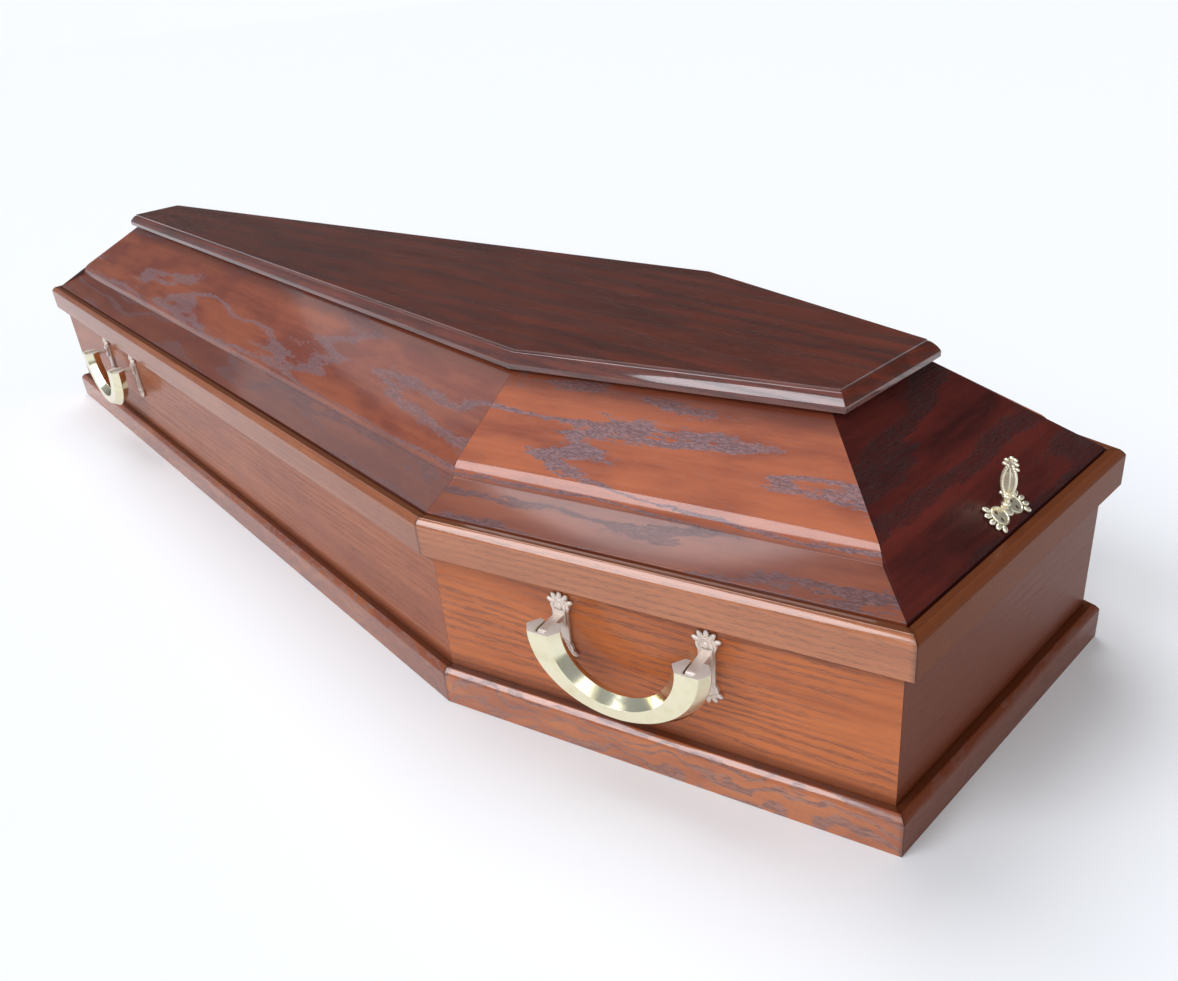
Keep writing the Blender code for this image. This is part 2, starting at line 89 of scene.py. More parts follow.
# Handles: distances are from the hinge axis
BRACKET_SPACING = 0.162
STANDOFF = 0.035
BOW_DROP = 0.075
BOW_TOP = 0.010
BOW_END_WIDTH = 0.040
BOW_MIDDLE_WIDTH = 0.028
BOW_DEPTH = 0.024
BOW_FACET = 0.008
LUG_WIDTH = 0.010
LUG_RADIUS = 0.008
SLOT_PLAY = 0.001
PIN_RADIUS = 0.0025
PIN_REACH = 0.005
PIN_PLAY = 0.0004
PLATE_THICKNESS = 0.005
PLATE_WAIST = 0.016
PLATE_DISC_RADIUS = 0.009
PLATE_TOP_DISC = 0.016
PLATE_LOW_DISC = 0.036
FAN_RADIUS = 0.0115
BEAD_RADIUS = 0.0034
BEAD_COUNT = 5
BEAD_STEP = math.radians(33)
ARM_THICKNESS = LUG_RADIUS * 0.72

# Wing screws
SCREW_UP_SLOPE = 0.017
SCREW_PLATE_THICKNESS = 0.003
SCREW_DISC_RADIUS = 0.0105
SCREW_DISC_SPACING = 0.028
SCREW_FAN_RADIUS = 0.0150
SCREW_BEAD_RADIUS = 0.0036
SCREW_BEAD_STEP = math.radians(26)
SCREW_HOLE_RADIUS = 0.0024
SCREW_HOLE_OFFSET = 0.0042
NECK_HEIGHT = 0.017
NECK_RADIUS = 0.0045
WING_HEIGHT = 0.040
WING_HALF_WIDTH = 0.0085
RIB_BEADS = 13

# Camera
CAMERA_AT = (1.3122, -0.8331, 0.7392)
CAMERA_YAW = 47.80  # degrees from +Y towards -X
CAMERA_PITCH = -27.36
CAMERA_ROLL = -5.76
CAMERA_LENS = 30.853  # mm
FILM_WIDTH = 36  # mm

# Soft lights: name, azimuth, height, width (all in degrees), power and colour
SOFT_LIGHTS = (
    ("overhead", 156, 58, 40, 1.45, (0.90, 0.94, 1.0)),
    ("front", -60, 36, 48, 0.95, (1.0, 0.99, 0.97)),
    ("front_left", -112, 41, 32, 1.35, (0.90, 0.94, 1.0)),
    ("left", 178, 34, 20, 0.10, (0.92, 0.95, 1.0)),
)

# Floor of the studio, which curves up far away
FLOOR_RADIUS = 40
FLOOR_SPREAD = 10
FLOOR_RISE = 28


def deselect():
    if bpy.context.mode != "OBJECT":
        bpy.ops.object.mode_set(mode="OBJECT")
    bpy.ops.object.select_all(action="DESELECT")


def edit(kind="VERT"):
    bpy.ops.object.mode_set(mode="EDIT")
    bpy.ops.mesh.select_mode(type=kind)


def select(test, kind="VERT"):
    """In edit mode, selects the vertices or faces of the active mesh that pass a test, and no others."""
    bpy.ops.mesh.select_all(action="DESELECT")
    bpy.ops.mesh.select_mode(type=kind)
    bpy.ops.object.mode_set(mode="OBJECT")
    mesh = bpy.context.object.data
    for item in mesh.polygons if kind == "FACE" else mesh.vertices:
        item.select = test(item)
    bpy.ops.object.mode_set(mode="EDIT")


def apply(obj, kind, name="shape", **settings):
    """Adds one modifier and applies it."""
    deselect()
    bpy.context.view_layer.objects.active = obj
    obj.select_set(True)
    modifier = obj.modifiers.new(name, kind)
    for key, value in settings.items():
        setattr(modifier, key, value)
    bpy.ops.object.modifier_apply(modifier=modifier.name)
    return obj


def place(obj, location=(0, 0, 0), rotation=(0, 0, 0)):
    """Turns and moves a mesh, and leaves its object at the origin."""
    deselect()
    obj.matrix_world = Matrix.LocRotScale(Vector(location), Matrix.Identity(3), Vector((1, 1, 1)))
    obj.rotation_euler = rotation
    bpy.context.view_layer.objects.active = obj
    obj.select_set(True)
    bpy.ops.object.transform_apply(location=True, rotation=True, scale=True)
    return obj


def copied(obj):
    twin = obj.copy()
    twin.data = obj.data.copy()
    bpy.context.scene.collection.objects.link(twin)
    return twin


def joined(parts):
    deselect()
    for part in parts:
        part.select_set(True)
    bpy.context.view_layer.objects.active = parts[0]
    bpy.ops.object.join()
    return parts[0]


def cut(obj, tools):
    """Takes closed tools away from a closed mesh, and removes the tools."""
    tool = joined(tools) if len(tools) > 1 else tools[0]
    apply(obj, "BOOLEAN", operation="DIFFERENCE", solver="EXACT", object=tool, use_self=len(tools) > 1)
    bpy.data.objects.remove(tool, do_unlink=True)
    return obj


def eased(obj, width=ARRIS, angle=25, segments=2):
    """Rounds the sharp edges a little."""
    return apply(obj, "BEVEL", width=width, segments=segments, limit_method="ANGLE",
                 angle_limit=math.radians(angle), miter_outer="MITER_ARC")


def smoothed(obj, angle=30):
    """Shades the curves smooth and keeps the flats flat."""
    deselect()
    obj.select_set(True)
    bpy.context.view_layer.objects.active = obj
    bpy.ops.object.shade_smooth_by_angle(angle=math.radians(angle))
    return apply(obj, "WEIGHTED_NORMAL", keep_sharp=True)


def read_plan():
    """The walls' outer corners on the right side and their thickness, from the frame's wall boards."""
    foot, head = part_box("wall_foot_end"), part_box("wall_head_end")
    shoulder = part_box("wall_right_foot")
    corners = [
        (foot[0].x, foot[0].y - GAP / 2),
        (shoulder[1].x + GAP / 2, shoulder[0].y),
        (head[1].x, head[0].y - GAP / 2),
    ]
    return corners, head[1].x - head[0].x


RIGHT_CORNERS, WALL_THICKNESS = read_plan()


def plan(side_inset=0.0, end_inset=0.0):
    """The six corners of the walls' plan, anticlockwise from the right foot corner, moved inwards."""
    corners = [Vector(c) for c in RIGHT_CORNERS + [(x, -y) for x, y in reversed(RIGHT_CORNERS)]]
    lines = []
    for i, name in enumerate(SIDES):
        along = (corners[(i + 1) % 6] - corners[i]).normalized()
        inward = Vector((-along.y, along.x))
        lines.append((inward, inward.dot(corners[i]) + (end_inset if name in ENDS else side_inset)))
    moved = []
    for i in range(6):
        (n, d), (m, e) = lines[i - 1], lines[i]
        moved.append(Matrix((n, m)).inverted() @ Vector((d, e)))
    return moved


class Side:
    """One side of the plan: its middle, its turn and the two mitre planes of its boards."""

    def __init__(self, index, outer, inner):
        start, end = outer[index], outer[(index + 1) % 6]
        along = (end - start).normalized()
        self.index = index
        self.name = SIDES[index]
        self.turn = math.atan2(along.y, along.x)
        self.middle = (start + end) / 2
        self.length = (end - start).length
        to_side = Matrix.Rotation(-self.turn, 2)
        self.mitres = []
        for corner, outside, way in ((index, start, -1), ((index + 1) % 6, end, 1)):
            mitre = to_side @ (inner[corner] - outside)
            normal = Vector((mitre.y, -mitre.x, 0)).normalized() * way
            self.mitres.append((Vector((way * (self.length - GAP) / 2, 0, 0)), normal))


def sides(outer_side=0.0, outer_end=0.0, inner_side=WALL_THICKNESS, inner_end=WALL_THICKNESS):
    outer, inner = plan(outer_side, outer_end), plan(inner_side, inner_end)
    return [Side(i, outer, inner) for i in range(6)]


def round_steps(turns, per_turn=6):
    """Small steps, inward and up, along a round that starts on a plumb face."""
    steps, facing = [], 0
    for radius, degrees in turns:
        for i in range(per_turn):
            now, then = (math.radians(facing + degrees * k / per_turn) for k in (i, i + 1))
            steps.append((radius * (math.cos(now) - math.cos(then)), radius * (math.sin(then) - math.sin(now))))
        facing += degrees
    return steps


class Board:
    """A board whose section is pulled from one long edge by straight pulls and turns."""

    def __init__(self, length, inward, up):
        deselect()
        bpy.ops.mesh.primitive_plane_add(size=length)
        self.obj = bpy.context.object
        self.start = self.at = (inward, up)
        edit()
        select(lambda v: v.co.y > 0)
        bpy.ops.mesh.delete(type="VERT")
        bpy.ops.mesh.select_all(action="SELECT")
        bpy.ops.transform.translate(value=(0, inward + length / 2, up))

    def to(self, inward, up):
        step = (0, inward - self.at[0], up - self.at[1])
        bpy.ops.mesh.extrude_region_move(TRANSFORM_OT_translate={"value": step})
        self.at = (inward, up)
        return self

    def turn(self, centre, degrees, steps=8):
        """A round about a centre; positive turns run from inwards to up."""
        angle = math.radians(degrees)
        bpy.ops.mesh.spin(steps=steps, angle=-angle, center=(0, *centre), axis=(1, 0, 0))
        arm = Matrix.Rotation(angle, 2) @ (Vector(self.at) - Vector(centre))
        self.at = tuple(Vector(centre) + arm)
        return self

    def rounded_over(self, turns, facing=0):
        """A round from a steep face to a flatter one, by turns of a radius and an angle each."""
        for radius, degrees in turns:
            arm = Vector((math.cos(math.radians(facing)), -math.sin(math.radians(facing)))) * radius
            self.turn(tuple(Vector(self.at) + arm), -degrees)
            facing += degrees
        return self

    def closed(self):
        self.to(*self.start)
        bpy.ops.mesh.select_all(action="SELECT")
        bpy.ops.mesh.remove_doubles(threshold=1e-5)
        bpy.ops.mesh.normals_make_consistent(inside=False)
        return self

    def mitred(self, side):
        """Eases the long edges, then cuts both ends, which stay sharp for a tight joint."""
        eased(self.obj)
        edit()
        for point, normal in side.mitres:
            bpy.ops.mesh.select_all(action="SELECT")
            bpy.ops.mesh.bisect(plane_co=point, plane_no=normal, use_fill=True, clear_outer=True)
        bpy.ops.mesh.select_all(action="SELECT")
        bpy.ops.mesh.normals_make_consistent(inside=False)
        deselect()
        return self.obj


def grained(obj, mitres, lean=0.0, shift=(0, 0, 0), tone=0.0):
    """Stores each point's place in the board, for the grain, its distance from both joints, and the board's stain
    and painted shade.
    """
    mesh = obj.data
    grain = mesh.attributes.new("grain", "FLOAT_VECTOR", "POINT")
    joint = mesh.attributes.new("joint", "FLOAT_VECTOR", "POINT")
    turn = Matrix.Rotation(-lean, 3, "X")
    for i, vertex in enumerate(mesh.vertices):
        grain.data[i].vector = turn @ vertex.co + Vector(shift)
        reach = [normal.dot(point - vertex.co) for point, normal in mitres]
        joint.data[i].vector = (*reach, tone)
    return obj


class Value:
    """A socket whose arithmetic adds Math nodes."""

    def __init__(self, tree, socket):
        self.tree, self.socket = tree, socket

    def math(self, operation, *others):
        node = self.tree.nodes.new("ShaderNodeMath")
        node.operation = operation
        for slot, value in zip(node.inputs, (self, *others)):
            link(self.tree, value, slot)
        return Value(self.tree, node.outputs[0])

    def __add__(self, other):
        return self.math("ADD", other)

    def __mul__(self, other):
        return self.math("MULTIPLY", other)

    def __sub__(self, other):
        return self.math("SUBTRACT", other)

    def __rsub__(self, other):
        return (self * -1.0) + other

    def __truediv__(self, other):
        return self.math("DIVIDE", other)

    __radd__, __rmul__ = __add__, __mul__

    def rise(self, low, high):
        """0 below low, 1 above high and a smooth rise between; high may be the smaller."""
        node = self.tree.nodes.new("ShaderNodeMapRange")
        node.interpolation_type = "SMOOTHSTEP"
        link(self.tree, self, node.inputs["Value"])
        node.inputs["From Min"].default_value, node.inputs["From Max"].default_value = low, high
        return Value(self.tree, node.outputs[0])


def link(tree, value, slot):
    if isinstance(value, Value):
        tree.links.new(value.socket, slot)
    elif value is not None:
        slot.default_value = value


class Nodes:
    """A node tree in the making: nodes are added by kind, settings and socket values."""

    def __init__(self, tree):
        self.tree = tree

    def node(self, kind, sockets=(), output=0, **settings):
        node = self.tree.nodes.new("ShaderNode" + kind)
        for key, value in settings.items():
            setattr(node, key, value)
        for key, value in dict(sockets).items():
            link(self.tree, value, node.inputs[key])
        return Value(self.tree, node.outputs[output])

    def parts(self, vector):
        split = self.tree.nodes.new("ShaderNodeSeparateXYZ")
        link(self.tree, vector, split.inputs[0])
        return [Value(self.tree, out) for out in split.outputs]

    def attribute(self, name):
        """The three parts of a vector that is stored on the mesh."""
        return self.parts(self.node("Attribute", output=1, attribute_name=name))

    def noise(self, x, y, z, detail=2.0, roughness=0.5, distortion=0.0):
        vector = self.node("CombineXYZ", {0: x, 1: y, 2: z})
        values = {"Vector": vector, "Scale": 1.0, "Detail": detail, "Roughness": roughness, "Distortion": distortion}
        return self.node("TexNoise", values)

    def mix(self, factor, a, b):
        """One colour over another."""
        colours = {6: a, 7: b}
        colours = {key: value if isinstance(value, Value) else (*value, 1) for key, value in colours.items()}
        return self.node("Mix", {0: factor, **colours}, output=2, data_type="RGBA")


class Studio(Nodes):
    """The light that comes from all round."""

    def facing(self, azimuth, height):
        """1 towards a direction, in degrees, and -1 away from it."""
        flat = math.cos(math.radians(height))
        turn = math.radians(azimuth)
        way = (flat * math.cos(turn), flat * math.sin(turn), math.sin(math.radians(height)))
        return self.node("VectorMath", {0: self.node("TexCoord"), 1: way}, output=1, operation="DOT_PRODUCT")

    def light(self, colour):
        link(self.tree, colour, self.tree.nodes["Background"].inputs["Color"])


class Finish(Nodes):
    """A material."""

    def __init__(self, name, **shader):
        self.material = bpy.data.materials.new(name)
        self.material.use_nodes = True
        super().__init__(self.material.node_tree)
        self.shader = self.tree.nodes["Principled BSDF"]
        self.put(**shader)

    def put(self, **sockets):
        for key, value in sockets.items():
            link(self.tree, value, self.shader.inputs[key.replace("_", " ").title().replace("Ior", "IOR")])

    def bump(self, height, distance):
        self.put(normal=self.node("Bump", {"Height": height, "Distance": distance, "Strength": 1.0}))


def shade(red, green, blue):
    """A linear colour from the 0 to 255 values of a screen."""
    def linear(value):
        share = value / 255
        return share / 12.92 if share <= 0.04045 else ((share + 0.055) / 1.055) ** 2.4
    return (linear(red), linear(green), linear(blue))


def stained_wood(name, pale, deep, row, line, lean, ring, sway=0.0, sway_scale=(2.0, 9.0), wander=0.002, jag=0.001,
                 early=0.35, fill=0.5, pores=0.6, streak=(35.0, 320.0), fleck=0.3, tones=(0.35, 0.25, 0.2),
                 roughness=0.34, coat=0.8, gloss=1.7, specular=0.3, stains=(), stain_up=False, seam=0.0, plain=0.0):
    """Open-grained wood under stain and lacquer.

    Growth rings lie across the direction lean, swayed by a slow noise and made ragged by a fine one. Where a
    ring's early wood meets the surface it shows as a greyer row or patch with thin squiggly pore lines. Painted
    shade darkens the colour from one height to another in each of the shade bands, counted across the board or
    up it. The rows fade out in places by as much as plain says. The board's own stain and painted shade darken
    it further by as much as its darkening says.
    """
    look = Finish(name, coat_roughness=0.08, coat_ior=gloss, specular_ior_level=specular)
    x, v, w = look.attribute("grain")
    start, end, tone = look.attribute("joint")
    slow = look.noise(x * sway_scale[0], v * sway_scale[1], w * sway_scale[1], detail=2.0, roughness=0.55)
    ripple = look.noise(x * 16.0, v * 70.0, w * 70.0, detail=3.0, roughness=0.6)
    ragged = look.noise(x * 95.0, v * 330.0, w * 330.0, detail=2.0, roughness=0.6)
    height = x * lean[0] + v * lean[1] + w * lean[2]
    height = height + (slow - 0.5) * sway + (ripple - 0.5) * wander + (ragged - 0.5) * jag
    phase = (height / ring + 40.0).math("FRACT")
    shown = look.noise(x * 4.0, v * 16.0, w * 16.0 + 3.0, detail=2.0).rise(0.34, 0.56)
    shown = shown * (1.0 - tone).math("MAXIMUM", 0.3)
    zone = phase.rise(0.0, 0.05) * phase.rise(early, early - 0.10) * (shown * plain + (1.0 - plain))
    squiggle = look.noise(x * streak[0], v * streak[1], w * streak[1], detail=2.0, roughness=0.55, distortion=0.8)
    lines = (squiggle - 0.5).math("ABSOLUTE").rise(0.055, 0.02)
    flecks = look.noise(x * 70.0, v * 520.0, w * 520.0 + 7.0, detail=1.0, roughness=0.6).rise(0.58, 0.70)
    band = look.noise(x * 1.1, v * 26.0, w * 26.0, detail=3.0, roughness=0.6).rise(0.36, 0.66)
    cloud = look.noise(x * 7.0, v * 24.0, w * 24.0 + 5.0, detail=4.0, roughness=0.6).rise(0.38, 0.68)
    fibre = look.noise(x * 8.0, v * 170.0, w * 170.0, detail=2.0, roughness=0.6).rise(0.30, 0.72)
    # The board's darkening pulls the colour towards deep: partly its own stain, partly painted shade on faces that
    # get less light.
    mood = band * tones[0] + cloud * tones[1] + fibre * tones[2] + tone
    colour = look.mix(mood.math("MINIMUM", 1.0), pale, deep)
    colour = look.mix(tone * 0.60, colour, tuple(c * 0.3 for c in deep))
    colour = look.mix(zone * (1.0 - tone * 0.8) * fill, colour, row)
    marks = (zone * lines * pores + flecks * fleck).math("MINIMUM", 1.0)
    colour = look.mix(marks, colour, line)
    # Painted shade: the colour darkens towards a deep brown from one height to another in each band.
    for low, high, strength in stains:
        colour = look.mix((w if stain_up else v).rise(low, high) * strength, colour, tuple(c * 0.4 for c in deep))
    if seam:
        colour = look.mix(start.math("MINIMUM", end).rise(0.004, 0.0) * seam, colour, tuple(c * 0.25 for c in deep))
    look.put(base_color=colour, roughness=roughness + zone * (fill * 0.18),
             coat_weight=(1.0 - tone) * (1.0 - zone * (fill * 0.42)) * coat)
    look.bump(fibre * 0.1 - zone * lines * 0.9 - flecks * 0.35, 0.0003)
    return look.material


def plated(name, colour, dull, roughness, metallic=1.0):
    """Polished plated casting with a faint unevenness and duller, rougher patches."""
    look = Finish(name, metallic=metallic)
    x, y, z = look.parts(look.node("TexCoord", output=3))
    cast = look.noise(x * 55.0, y * 55.0, z * 55.0, detail=2.0)
    fine = look.noise(x * 800.0, y * 800.0, z * 800.0, detail=1.0)
    look.put(base_color=look.mix(cast.rise(0.45, 0.75) * 0.4, colour, dull),
             roughness=roughness + (fine - 0.5) * 0.05 + cast.rise(0.5, 0.8) * 0.06)
    look.bump(cast * 0.5 + fine * 0.03, 0.0002)
    return look.material


WOODS = {
    "wall": stained_wood(
        "wall_wood_finish", shade(190, 109, 61), shade(138, 68, 40), shade(158, 102, 80), shade(116, 72, 56),
        lean=(0.0, 0.25, 0.97), ring=0.0105, sway=0.046, sway_scale=(1.5, 13.0), wander=0.010, jag=0.0030,
        early=0.55, fill=0.42, pores=0.5, streak=(26.0, 420.0), fleck=0.16, plain=0.9, coat=0.4, gloss=1.5,
        # painted shade: the wall is darker just above the skirting and just under the rim band
        specular=0.12, stains=((0.066, 0.046, 0.6), (0.176, 0.196, 0.55)), stain_up=True
    ),
    "trim": stained_wood(
        "rim_wood_finish", shade(182, 112, 70), shade(146, 80, 48), shade(146, 100, 80), shade(100, 62, 48),
        lean=(0.0, 0.5, 0.8), ring=0.006, sway=0.014, sway_scale=(1.5, 8.0), wander=0.004, early=0.5, fill=0.12,
        pores=0.2, streak=(60.0, 420.0), fleck=0.25, plain=0.9, specular=0.04, coat=1.0,
        # painted shade: the flat top behind the round is darkened for the dark surroundings it reflects
        stains=((-0.0086, -0.0072, 0.85),), seam=0.5
    ),
    "skirting": stained_wood(
        "skirting_wood_finish", shade(192, 112, 60), shade(140, 70, 40), shade(146, 112, 104),
        shade(104, 68, 62), lean=(0.0, 0.02, 0.5), ring=0.0090, sway=0.060, sway_scale=(11.0, 12.0),
        wander=0.008, jag=0.003, early=0.42, fill=0.65, pores=0.6, streak=(45.0, 300.0), fleck=0.15,
        # painted shade: the flat top behind the round is darkened for the dark surroundings it reflects
        tones=(0.3, 0.6, 0.2), plain=0.35, specular=0.15, coat=1.0, stains=((-0.0086, -0.0072, 0.88),),
        seam=0.5
    ),
    "lid": stained_wood(
        "lid_wood_finish", shade(176, 96, 60), shade(124, 58, 40), shade(136, 110, 114), shade(92, 64, 64),
        lean=(0.002, 0.0, 1.0), ring=0.0064, sway=0.026, sway_scale=(2.2, 12.0), wander=0.0046, jag=0.0024,
        early=0.32, fill=0.85, pores=0.6, fleck=0.12, streak=(130.0, 460.0), tones=(0.3, 0.5, 0.2), plain=0.2,
        # painted shade: darker just under the top board's overhang and over the whole lower slope
        gloss=1.6, specular=0.15, stains=((0.150, 0.176, 0.6), (0.054, 0.046, 0.5))
    ),
    "end_panel": stained_wood(
        "end_panel_finish", shade(100, 38, 30), shade(54, 20, 18), shade(44, 20, 20), shade(34, 16, 16),
        lean=(0.0, 0.06, 0.9), ring=0.0045, sway=0.016, sway_scale=(2.5, 9.0), early=0.5, fill=0.5, pores=0.4,
        tones=(0.35, 0.5, 0.2), coat=0.0, specular=0.3
    ),
    "top": stained_wood(
        "top_board_finish", shade(118, 52, 34), shade(70, 30, 22), shade(60, 30, 24), shade(46, 24, 20),
        lean=(0.002, 0.16, 0.6), ring=0.006, sway=0.020, sway_scale=(1.2, 8.0), early=0.5, fill=0.25, pores=0.3,
        streak=(20.0, 380.0), fleck=0.1, tones=(0.35, 0.45, 0.2), coat=1.0, specular=0.15
    ),
    "floor": stained_wood(
        "floor_wood_finish", shade(205, 170, 128), shade(180, 140, 96), shade(160, 122, 86),
        shade(140, 104, 70), lean=(0.0, 0.1, 0.9), ring=0.008, sway=0.010, coat=0.0, roughness=0.6
    ),
}
BOW_FINISH = plated("pale_gold_plating", shade(236, 230, 200), shade(208, 198, 150), 0.13)
BOW_END_FINISH = plated("bow_end_plating", shade(214, 204, 194), shade(190, 174, 162), 0.42, metallic=0.35)
BRACKET_FINISH = plated("bracket_plating", shade(222, 208, 198), shade(186, 162, 130), 0.34, metallic=0.45)
SCREW_FINISH = plated("silver_gold_plating", shade(240, 232, 208), shade(196, 174, 104), 0.24, metallic=0.7)
BOARD_STAIN_AND_SHADE = {"right_foot": 0.36, "left_foot": 0.36, "right_head": 0.0, "left_head": 0.0,
               "head_end": 0.95, "foot_end": 0.95}  # 0 is lightest and 1 darkest: partly the boards' own stain, partly painted shade on the ends and foot sides, which get less light


def finish(obj, name, body, nodes, look, second=None, where=None):
    """Names a piece, gives it its finish, hangs it on its body and lets it stand for its solids."""
    obj.name = obj.data.name = name
    obj.data.materials.clear()
    obj.data.materials.append(look)
    if second:
        obj.data.materials.append(second)
    for polygon in obj.data.polygons:
        polygon.material_index = 1 if second and where(polygon) else 0
    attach(obj, body)
    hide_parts(*nodes)
    return obj


def set_board(obj, side, lean, shift, tone=0.0):
    grained(obj, side.mitres, lean, shift, tone)
    smoothed(obj)
    return place(obj, (*side.middle, 0), (0, 0, side.turn))


def make_case():
    """Walls, skirting and rim band."""
    wall_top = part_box("wall_head_end")[1].z
    band_low, band_top = (corner.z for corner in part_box("rim_band_head_end"))
    skirting_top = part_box("skirting_head_end")[1].z
    rise = sum(step[1] for step in round_steps(TRIM_TURNS))
    head = RIGHT_CORNERS[2][0]
    band_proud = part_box("rim_band_head_end")[1].x - head
    skirting_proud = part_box("skirting_head_end")[1].x - head
    for side in sides():
        reach = side.length * SPARE
        number, tone = side.index, BOARD_STAIN_AND_SHADE[side.name]
        wall = Board(reach, 0, 0).to(0, wall_top).to(WALL_THICKNESS, wall_top).to(WALL_THICKNESS, 0).closed()
        wall = set_board(wall.mitred(side), side, 0.0, (number * 3.1, number * 0.5, 0), tone)
        finish(wall, f"wall_board_{side.name}", "coffin", [f"wall_{side.name}"], WOODS["wall"])
        skirting = Board(reach, -GAP, 0).to(-skirting_proud, 0).to(-skirting_proud, skirting_top - rise)
        skirting.rounded_over(TRIM_TURNS).to(-GAP, skirting_top).closed()
        skirting = set_board(skirting.mitred(side), side, 0.0, (number * 2.7, 0, 0.02 * number), tone)
        finish(skirting, f"skirting_moulding_{side.name}", "coffin", [f"skirting_{side.name}"],
               WOODS["skirting"])
        band = Board(reach, -GAP, band_low).to(-band_proud, band_low).to(-band_proud, band_top - rise)
        band.rounded_over(TRIM_TURNS).to(-GAP, band_top).closed()
        band = set_board(band.mitred(side), side, 0.0, (number * 1.9, 0, 0.03 * number), tone)
        finish(band, f"rim_moulding_{side.name}", "coffin", [f"rim_band_{side.name}"], WOODS["trim"])
    make_floor()


def slab(outline, low, high):
    """A flat board cut from a rectangle along each long side of a plan."""
    xs, ys = [c.x for c in outline], [c.y for c in outline]
    deselect()
    bpy.ops.mesh.primitive_cube_add(size=1)
    obj = bpy.context.object
    edit()
    bpy.ops.transform.resize(value=(max(xs) - min(xs), max(ys) - min(ys), high - low))
    bpy.ops.transform.translate(value=((max(xs) + min(xs)) / 2, 0, (high + low) / 2))
    for i, name in enumerate(SIDES):
        if name in ENDS:
            continue
        along = outline[(i + 1) % 6] - outline[i]
        outward = Vector((along.y, -along.x, 0)).normalized()
        bpy.ops.mesh.select_all(action="SELECT")
        bpy.ops.mesh.bisect(plane_co=(*outline[i], 0), plane_no=outward, use_fill=True, clear_outer=True)
    return obj


FAR_ENDS = [(Vector((-9, 0, 0)), Vector((-1, 0, 0))), (Vector((9, 0, 0)), Vector((1, 0, 0)))]


def make_floor():
    """The board that lies between the walls."""
    low, high = (corner.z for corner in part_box("floor_board"))
    inset = WALL_THICKNESS + GAP
    board = slab(plan(inset, inset), low, high)
    deselect()
    grained(eased(board), FAR_ENDS)
    finish(smoothed(board), "bottom_board", "coffin", ["floor_board"], WOODS["floor"])


def lid_levels():
    """The lid's lower edge, the level where its slopes begin, its ridge and its play inside the band."""
    low, ridge = (corner.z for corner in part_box("lid_panel_head_end"))
    play = RIGHT_CORNERS[2][0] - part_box("lid_panel_head_end")[1].x
    return low, low + LID_EDGE, ridge, play


def moulded(board, base):
    """Pulls the lower slope and the nose."""
    return board.to(LOWER_RUN, base + LOWER_RISE).rounded_over(NOSE_TURNS, NOSE_LEAN)


def make_lid():
    """Four moulded panels, two plain end panels and the top board."""
    low, base, ridge, play = lid_levels()
    slope = math.atan2(ridge - base, LID_RUN)
    step = LID_THICKNESS / math.sin(slope)
    for i, side in enumerate(sides(play, play, play + LID_RUN, play + LID_RUN)):
        end = side.name in ENDS
        board = Board(side.length * SPARE, 0, low).to(0, base)
        if not end:
            moulded(board, base)
        board.to(LID_RUN, ridge).to(LID_RUN + step, ridge).to(step - LID_EDGE / math.tan(slope), low).closed()
        panel = board.mitred(side)
        tone = 0.0 if end else BOARD_STAIN_AND_SHADE[side.name]
        set_board(panel, side, slope, (i * 3.7 + 1.0, -base * math.sin(slope), 0.013 * i), tone)
        look, slot = ("end_panel", "end_panel_wood") if end else ("lid", "lid_wood")
        finish(panel, f"lid_slope_{side.name}", "coffin", [f"lid_panel_{side.name}"], WOODS[look])
    make_top_board(ridge + GAP, play)


def make_top_board(underside, play):
    """A slab with an ovolo round its upper edge and a small quirk under its face."""
    run = play + LID_RUN
    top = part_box("lid_top_board")[1].z
    shoulder = underside + TOP_EDGE
    board = slab(plan(run - TOP_SIDE_OVERHANG, run - TOP_END_OVERHANG), underside, shoulder)
    select(lambda v: v.co.z > shoulder - 1e-5)
    steps = round_steps(OVOLO_TURNS)
    for inward, up in steps:
        bpy.ops.mesh.inset(thickness=inward, depth=up, use_even_offset=True)
    rise = sum(step[1] for step in steps)
    bpy.ops.mesh.inset(thickness=TOP_QUIRK, use_even_offset=True)
    bpy.ops.mesh.extrude_region_move(TRANSFORM_OT_translate={"value": (0, 0, top - shoulder - rise)})
    deselect()
    grained(eased(board), FAR_ENDS, shift=(20, 0, -0.36))
    finish(smoothed(board), "lid_top", "coffin", ["lid_top_board"], WOODS["top"])


def block(size, middle):
    deselect()
    bpy.ops.mesh.primitive_cube_add(size=1)
    obj = bpy.context.object
    edit()
    bpy.ops.transform.resize(value=size)
    bpy.ops.transform.translate(value=middle)
    deselect()
    return obj


def rod(radius, length, middle, axis="X", vertices=32):
    turn = {"X": (0, math.pi / 2, 0), "Y": (math.pi / 2, 0, 0), "Z": (0, 0, 0)}[axis]
    deselect()
    bpy.ops.mesh.primitive_cylinder_add(vertices=vertices, radius=radius, depth=length)
    return place(bpy.context.object, middle, turn)


def bead(middle, size):
    deselect()
    bpy.ops.mesh.primitive_uv_sphere_add(segments=20, ring_count=12, radius=1)
    obj = bpy.context.object
    edit()
    bpy.ops.transform.resize(value=size)
    deselect()
    return place(obj, middle)


def ring(radius, wire, middle, axis="Y"):
    turn = {"Y": (math.pi / 2, 0, 0), "Z": (0, 0, 0)}[axis]
    deselect()
    bpy.ops.mesh.primitive_torus_add(major_radius=radius, minor_radius=wire, major_segments=48, minor_segments=12)
    return place(bpy.context.object, middle, turn)


